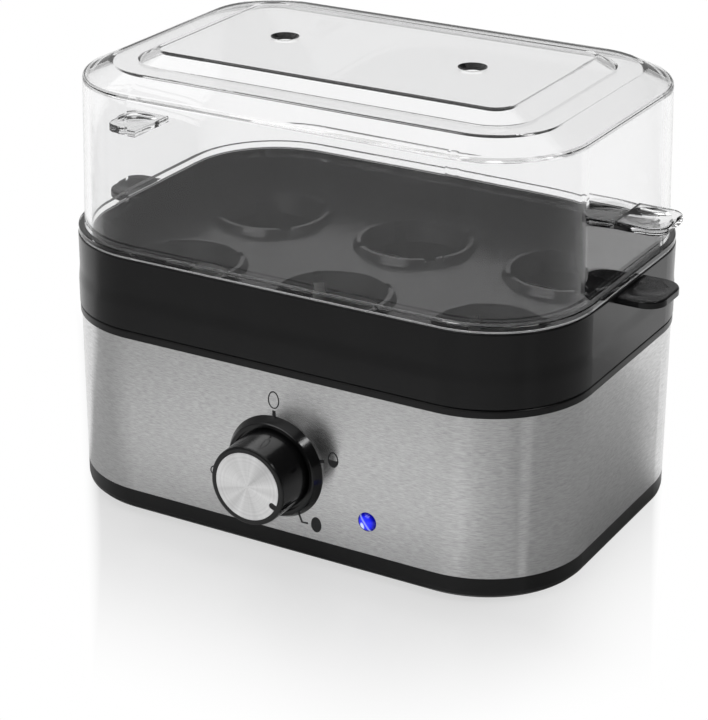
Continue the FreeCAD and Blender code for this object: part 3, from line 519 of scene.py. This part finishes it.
# Painted white areas on the floor that only reflections see, so that shiny pieces mirror them; each lies
# past all its edges
MIRRORED_AREAS = [
    [(-150.0, 0.036, 0.074)],
    [(180.0, 0.04, 0.07), (-113.05, -0.0744, -0.0646)],
    [(180.0, -0.038, -0.02), (-90.0, 0.088, 0.1)],
]

# Painted oval of white in front of the body that only reflections see: its middle and half sizes, soft rim
# and share of white
PAINTED_OVAL_MIDDLE = (-0.016, -0.1263, 0.0)
PAINTED_OVAL_HALF = (0.1333, 0.0526, 1.0)
PAINTED_OVAL_RIM = (0.4, 1.25)
PAINTED_OVAL_WHITE = 0.6

# Painted white fans on the floor that show as painted reflections in the band's rounded corner: root,
# heading, angles where they start and are full, share of white
PAINTED_CORNER_REFLECTIONS = [
    (CORNER, 25.0, 37.0, 11.5, 0.22),
    (CORNER + CORNER_R * heading(47.0), 68.5, 10.0, 2.5, 0.2),
]


def beyond(tree, spot, edge, most=1.0):
    """Number that rises from 0 to most at an edge on the floor."""
    degrees, start, end = edge
    return fade(tree, along(tree, spot, heading(degrees)), start, end, 0.0, most)


def seen_white(tree, spot):
    """Share of painted white that the camera sees over the floor's shadow, and the share that shows
    through clear pieces.
    """
    folded = vector_step(tree, "ABSOLUTE", vector_step(tree, "SUBTRACT", spot, BODY_MIDDLE))
    outside = vector_step(tree, "MAXIMUM", vector_step(tree, "SUBTRACT", folded, BODY_HALF))
    distance = combine(tree, "ADD", length(tree, outside), beyond(tree, spot, CUT_EDGE, SHADOW_CUT))
    near = fade(tree, distance, SHADOW_START, SHADOW_END, SHADOW_WHITE, 1.0)
    direct = combine(tree, "MAXIMUM", near, beyond(tree, spot, LEFT_EDGE), beyond(tree, spot, RIGHT_EDGE))
    return direct, combine(tree, "MAXIMUM", direct, beyond(tree, spot, BACK_EDGE))


def mirrored_white(tree, spot):
    """Share of painted white that only reflections see, which shiny pieces mirror."""
    painted_oval = vector_step(tree, "DIVIDE", vector_step(tree, "SUBTRACT", spot, PAINTED_OVAL_MIDDLE), PAINTED_OVAL_HALF)
    front = fade(tree, length(tree, painted_oval), *PAINTED_OVAL_RIM, PAINTED_OVAL_WHITE, 0.0)
    for root, degrees, wide, narrow, most in PAINTED_CORNER_REFLECTIONS:
        spoke = vector_step(tree, "NORMALIZE", vector_step(tree, "SUBTRACT", spot, root))
        limits = [math.cos(math.radians(angle)) for angle in (wide, narrow)]
        glow = fade(tree, along(tree, spoke, heading(degrees)), *limits, 0.0, most)
        front = combine(tree, "ADD", front, glow)
    areas = []
    for edges in MIRRORED_AREAS:
        areas.append(combine(tree, "MULTIPLY", *[beyond(tree, spot, edge) for edge in edges]))
    return combine(tree, "MAXIMUM", front, *areas)


def white_floor():
    """Pale glossy floor that runs out to plain white; how white it is depends on the kind of ray: painted
    white over its shadow, and painted reflections.
    """
    mesh = bpy.data.meshes.new("floor")
    corners = [(FLOOR_HALF * x, FLOOR_HALF * y, 0.0) for x, y in ((-1, -1), (1, -1), (1, 1), (-1, 1))]
    mesh.from_pydata(corners, [], [(0, 1, 2, 3)])
    floor = bpy.data.objects.new("floor", mesh)
    bpy.context.scene.collection.objects.link(floor)
    material, tree, shader = new_material("floor")
    feed(tree, shader, {
        "Base Color": (*even(FLOOR_GREY), 1.0),
        "Roughness": FLOOR_ROUGHNESS,
        "Specular IOR Level": FLOOR_SHINE,
    })
    spot = object_point(tree)
    direct, through = seen_white(tree, spot)
    shares = {
        "Is Camera Ray": direct,
        "Is Transmission Ray": through,
        "Is Glossy Ray": mirrored_white(tree, spot),
    }
    path = tree.nodes.new("ShaderNodeLightPath")
    parts = [combine(tree, "MULTIPLY", path.outputs[ray], share) for ray, share in shares.items()]
    white = tree.nodes.new("ShaderNodeEmission")
    feed(tree, white, {"Strength": 1.0})
    surface(tree, combine(tree, "MAXIMUM", *parts), shader.outputs["BSDF"], white.outputs["Emission"])
    mesh.materials.append(material)


# Light

# The room's brightness from front to back, and the share of it that is left from left to right
ROOM_BACK = dict(start=-0.7, end=0.6, low=0.32, high=0.62)
ROOM_RIGHT = dict(start=-0.5, end=0.7, low=1.0, high=0.08)
WHITE = (1.0, 1.0, 1.0, 1.0)

# Softboxes: place, width and height in metres, and watts; all of them face one point
AIM = Vector((0.0, 0.0, 0.08))
SOFTBOXES = {
    "top_box": ((-0.2, 0.15, 1.1), 1.5, 1.5, 5.4),
    "left_box": ((-0.25, -0.98, 0.8), 0.9, 0.5, 4.5),
    "right_box": ((0.8, -0.1, 0.9), 0.14, 0.14, 1.3),
}


def studio_world():
    """Room that the camera sees as white; it lights the object less from the front and the right."""
    world = bpy.data.worlds.new("studio")
    bpy.context.scene.world = world
    world.use_nodes = True
    tree = world.node_tree
    coordinates = tree.nodes.new("ShaderNodeTexCoord")
    axes = tree.nodes.new("ShaderNodeSeparateXYZ")
    feed(tree, axes, {"Vector": coordinates.outputs["Generated"]})
    back = fade(tree, axes.outputs["Y"], **ROOM_BACK)
    right = fade(tree, axes.outputs["X"], **ROOM_RIGHT)
    room = combine(tree, "MULTIPLY", back, right)
    path = tree.nodes.new("ShaderNodeLightPath")
    level = tree.nodes.new("ShaderNodeMix")
    feed(tree, level, {"Factor": path.outputs["Is Camera Ray"], "A": room, "B": 1.0})
    feed(tree, tree.nodes["Background"], {"Color": WHITE, "Strength": level.outputs["Result"]})


def softbox(name, spot, width, height, watts):
    """Rectangular lamp that faces the object."""
    light = bpy.data.lights.new(name, "AREA")
    light.shape = "RECTANGLE"
    light.size = width
    light.size_y = height
    light.energy = watts
    lamp = bpy.data.objects.new(name, light)
    lamp.location = spot
    lamp.rotation_euler = (AIM - spot).to_track_quat("-Z", "Y").to_euler()
    bpy.context.scene.collection.objects.link(lamp)


# Camera of the photograph: place in metres, angles in degrees, lens and sensor in millimetres

CAMERA_PLACE = Vector((0.34778, -0.61121, 0.35396))
CAMERA_YAW = 29.916
CAMERA_PITCH = 23.649
CAMERA_ROLL = 0.135
CAMERA_LENS = 118.06
CAMERA_SENSOR = 36.0
CAMERA_NEAREST = 0.01


def photo_camera():
    """Camera that looks at the object as the photograph does."""
    yaw, pitch, roll = (math.radians(angle) for angle in (CAMERA_YAW, CAMERA_PITCH, CAMERA_ROLL))
    level = math.cos(pitch)
    forward = Vector((-math.sin(yaw) * level, math.cos(yaw) * level, -math.sin(pitch)))
    right = Vector((math.cos(yaw), math.sin(yaw), 0.0))
    up = right.cross(forward)
    across = math.cos(roll) * right + math.sin(roll) * up
    upward = -math.sin(roll) * right + math.cos(roll) * up
    data = bpy.data.cameras.new("camera")
    data.lens = CAMERA_LENS
    data.sensor_fit = "VERTICAL"
    data.sensor_height = CAMERA_SENSOR
    data.clip_start = CAMERA_NEAREST
    camera = bpy.data.objects.new("camera", data)
    turn = Matrix((across, upward, -forward)).transposed().to_4x4()
    camera.matrix_world = Matrix.Translation(CAMERA_PLACE) @ turn
    bpy.context.scene.collection.objects.link(camera)
    bpy.context.scene.camera = camera


white_floor()
studio_world()
for name, (spot, width, height, watts) in SOFTBOXES.items():
    softbox(name, Vector(spot), width, height, watts)
photo_camera()
bpy.context.scene.view_settings.view_transform = "Standard"
